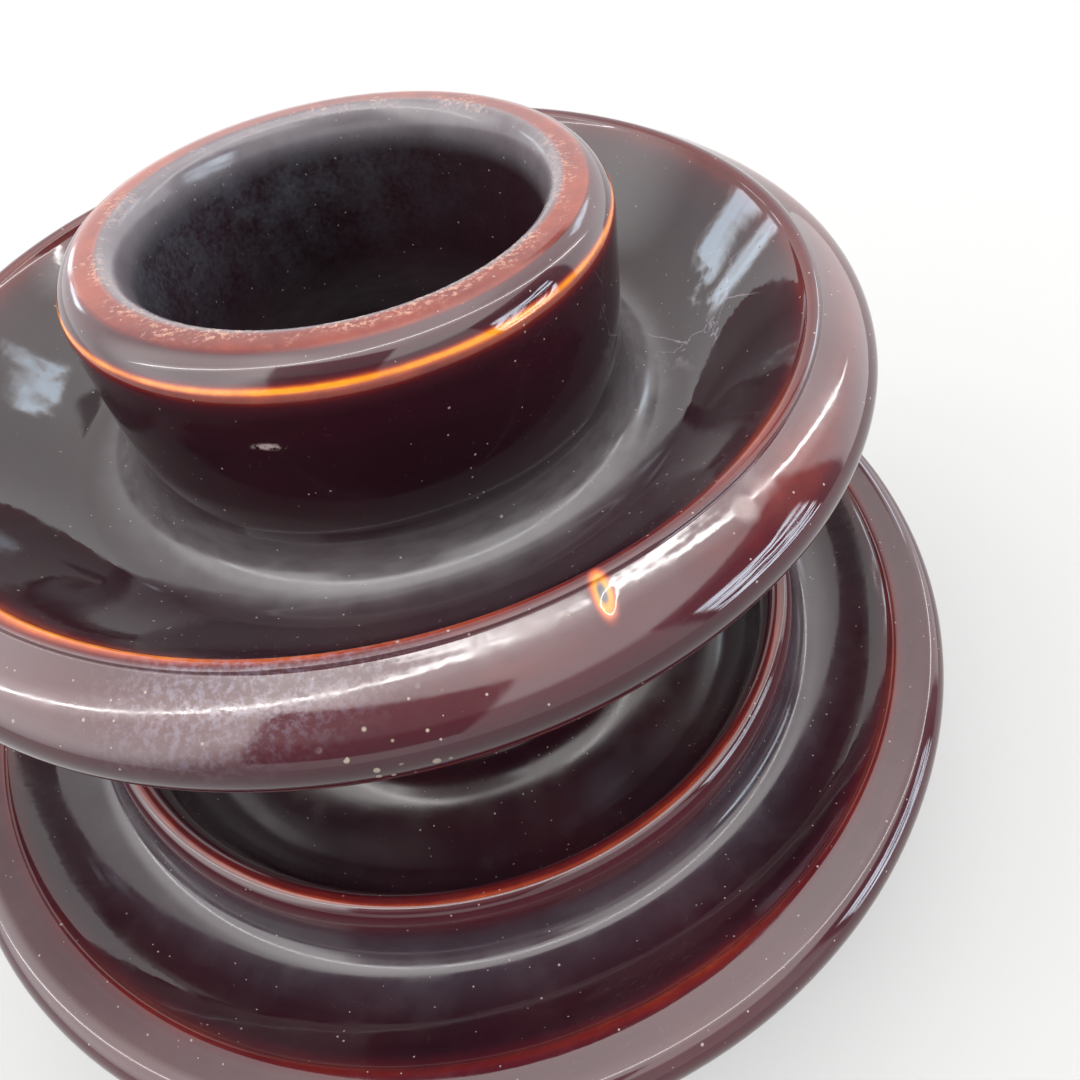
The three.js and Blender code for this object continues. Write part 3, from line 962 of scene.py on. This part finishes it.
centre_shell = stand_for(centre_mesh, "centre_shell")
head_shell = stand_for(head_mesh, "head_shell")
joint_cement = stand_for(joint_cement_mesh, "joint_cement")
thimble_cement = stand_for(thimble_cement_mesh, "thimble_cement")
pin_thimble = stand_for(thimble_mesh, "pin_thimble")

centre_steps = (paint_with_blister_and_reflection, add_wear, add_relief, add_kiln_marks_and_highlight, add_rim_soil_and_reflections)
centre_shell.data.materials.append(glaze_material("brown_glaze_centre", centre_steps))
head_steps = (paint_plain, add_wear, add_relief, add_head_dust)
head_shell.data.materials.append(glaze_material("brown_glaze_head", head_steps))
cement = cement_material()
joint_cement.data.materials.append(cement)
thimble_cement.data.materials.append(cement)
pin_thimble.data.materials.append(zinc_material())

sand = sand_material()
bitumen = bitumen_material()
for node, material in (
    ("socket_sand_band", sand),
    ("trunk_sand_band", sand),
    ("pin_hole_sand_band", sand),
    ("trunk_bitumen_coat", bitumen),
    ("thimble_bitumen_coat", bitumen),
):
    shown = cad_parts[node]
    shown.data.materials.clear()
    shown.data.materials.append(material)


# ---------------------------------------------------------------- floor, light and camera

FLOOR_REACH = 6.0  # metres from the middle to each side
FLOOR_GREY = 0.28

floor_mesh = bpy.data.meshes.new("floor")
foot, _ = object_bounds()
floor_corners = [
    (x * FLOOR_REACH, y * FLOOR_REACH, foot.z) for x, y in ((-1, -1), (1, -1), (1, 1), (-1, 1))
]
floor_mesh.from_pydata(floor_corners, [], [(0, 1, 2, 3)])
floor = bpy.data.objects.new("floor", floor_mesh)
bpy.context.scene.collection.objects.link(floor)
floor_paint, _, floor_shader, _ = new_material("floor_paint")
floor_shader.inputs["Base Color"].default_value = (FLOOR_GREY, FLOOR_GREY, FLOOR_GREY, 1)
floor_shader.inputs["Roughness"].default_value = 0.9
floor_shader.inputs["Specular IOR Level"].default_value = 0.1
floor_mesh.materials.append(floor_paint)


# The diffuser strip lies in the plane where a direction's product with this vector is the offset.
STRIP_VECTOR = (-0.0505, 0.7415, 0.6691)
STRIP_OFFSET = 0.3997


def build_light():
    """Soft studio light as one surrounding dome: a bright ceiling with a long diffuser strip, a brighter
    side to the right of the camera with a cool window, and a dim side behind the camera to the left."""
    world = bpy.data.worlds.new("studio")
    bpy.context.scene.world = world
    world.use_nodes = True
    world.node_tree.nodes.clear()
    n = Nodes(world.node_tree)
    d = n.vector("NORMALIZE", n.node("ShaderNodeTexCoord").outputs["Generated"])

    def facing(azimuth, elevation):
        return n.vector("DOT_PRODUCT", d, tuple(direction(azimuth, elevation)))

    def panel(azimuth, elevation, half_width, half_height, soft=1.5, roll=0.0):
        """1 inside a rectangular panel seen in that direction, with soft edges, all in degrees."""
        out = direction(azimuth, elevation)
        side = Vector((0, 0, 1)).cross(out).normalized()
        up = out.cross(side)
        turn = math.radians(roll)
        across = side * math.cos(turn) + up * math.sin(turn)
        along = up * math.cos(turn) - side * math.sin(turn)
        fade = math.tan(math.radians(soft))
        ahead = n.vector("DOT_PRODUCT", d, tuple(out))
        inside = n.ramp(ahead, 0.05, 0.1)
        for axis, half in ((across, half_width), (along, half_height)):
            off = n.math("DIVIDE", n.vector("DOT_PRODUCT", d, tuple(axis)), ahead)
            reach = math.tan(math.radians(half))
            edge = n.ramp(n.math("ABSOLUTE", off), reach - fade, reach + fade)
            inside = n.product(inside, n.inverse(edge))
        return inside

    def add(total, mask, amount):
        return n.math("ADD", total, n.math("MULTIPLY", mask, amount))

    def less(total, mask, share):
        return n.math("MULTIPLY", total, n.inverse(n.math("MULTIPLY", mask, share)))

    up = n.node("ShaderNodeSeparateXYZ", {"Vector": d}).outputs["Z"]
    light = n.linear(n.ramp(facing(-48, 22), -0.3, 0.5), 1.8, 2.3)
    light = less(light, n.ramp(facing(15, 15), 0.55, 0.95), 0.28)
    light = add(light, n.ramp(facing(-170, 38), 0.72, 0.95), 2.8)
    light = add(light, n.ramp(up, 0.82, 0.95), 1.1)
    # A low band behind the camera and to its left stays dim, under a dark doorway.
    low_band = n.product(n.ramp(facing(-75, 0), 0.2, 0.5), n.inverse(n.ramp(up, 0.56, 0.66)))
    light = less(light, low_band, 0.6)
    light = less(light, panel(-114, 38, 20, 23), 0.8)
    # A long, slim diffuser across the ceiling, with a soft glow round it.
    off_strip = n.math("SUBTRACT", n.vector("DOT_PRODUCT", d, STRIP_VECTOR), STRIP_OFFSET)
    off_strip = n.math("ABSOLUTE", off_strip)
    tube = n.product(n.inverse(n.ramp(off_strip, 0.003, 0.009)), n.ramp(up, 0.26, 0.42))
    glow = n.product(n.inverse(n.ramp(off_strip, 0.008, 0.09)), n.ramp(up, 0.3, 0.5))
    light = add(add(light, tube, 24.0), glow, 2.2)
    # A cool window on the right, broken up by what stands outside it, in a dark wall.
    bars = n.ramp(n.noise(n.vector("MULTIPLY", d, (2.0, 2.0, 20.0)), 1.6, 2.0, 0.6), 0.47, 0.53)
    window = n.product(panel(-27, 13, 15, 13, 1.0), bars)
    light = less(light, panel(-24, 17, 22, 24), 0.75)
    # A dark shelf and small, patchy windows on the far side of the part.
    light = less(light, panel(52, 41, 7, 4), 0.7)
    behind = n.math("MAXIMUM", panel(126, 18, 5, 3), panel(117, 12, 2.5, 4, roll=20))
    behind = n.math("MAXIMUM", behind, panel(120, 20, 2.5, 2, roll=-25))
    behind = n.math("MAXIMUM", behind, panel(38, 30, 8, 3.5, 1.2, -20))
    behind = n.product(behind, n.ramp(n.noise(d, 9.0, 3.0, 0.7), 0.38, 0.6))
    light = add(light, window, 15.0)
    light = add(light, behind, 8.0)
    cool = n.math("MAXIMUM", window, behind)
    warm = n.ramp(up, -0.2, 0.9)
    colour = n.mix(warm, (0.97, 0.985, 1.0), (1.0, 0.985, 0.97))
    colour = n.mix(cool, colour, (0.74, 0.87, 1.0))
    studio = n.node("ShaderNodeBackground", {"Color": colour, "Strength": light})
    # What the camera sees past the floor's end is as pale as the floor.
    backdrop = n.node("ShaderNodeBackground", {"Color": (0.9, 0.9, 0.9, 1), "Strength": 1.0})
    seen = n.node("ShaderNodeLightPath").outputs["Is Camera Ray"]
    chosen = n.node("ShaderNodeMixShader", {0: seen, 1: studio.outputs[0], 2: backdrop.outputs[0]})
    output = n.node("ShaderNodeOutputWorld")
    world.node_tree.links.new(chosen.outputs[0], output.inputs["Surface"])


build_light()

# The camera stands over the near side of the tube's rim, about three rim radii back.
HEADING = 10.83  # degrees from +Y towards +X
PITCH = -48.76
ROLL = 8.47  # its right side dips
EYE_BACK = 3.039
EYE_UP = 1.444
SENSOR = 36.0
LENS = 27.03

rim_radius, rim_height = RIM_EDGE[0] * MM, RIM_EDGE[1] * MM
eye = Vector((0, -EYE_BACK * rim_radius, rim_height + EYE_UP * rim_radius))
h, p, roll = math.radians(HEADING), math.radians(PITCH), math.radians(ROLL)
forward = Vector((math.sin(h) * math.cos(p), math.cos(h) * math.cos(p), math.sin(p)))
level = forward.cross(Vector((0, 0, 1))).normalized()
upright = level.cross(forward)
right = level * math.cos(roll) - upright * math.sin(roll)
above = right.cross(forward)
camera_data = bpy.data.cameras.new("photo_view")
camera_data.lens = LENS
camera_data.sensor_width = SENSOR
camera_data.clip_start = 0.01
camera = bpy.data.objects.new("photo_view", camera_data)
bpy.context.scene.collection.objects.link(camera)
camera.matrix_world = Matrix(
    (
        (right.x, above.x, -forward.x, eye.x),
        (right.y, above.y, -forward.y, eye.y),
        (right.z, above.z, -forward.z, eye.z),
        (0, 0, 0, 1),
    )
)
bpy.context.scene.camera = camera

bpy.context.scene.view_settings.view_transform = "Standard"
bpy.context.scene.view_settings.look = "None"
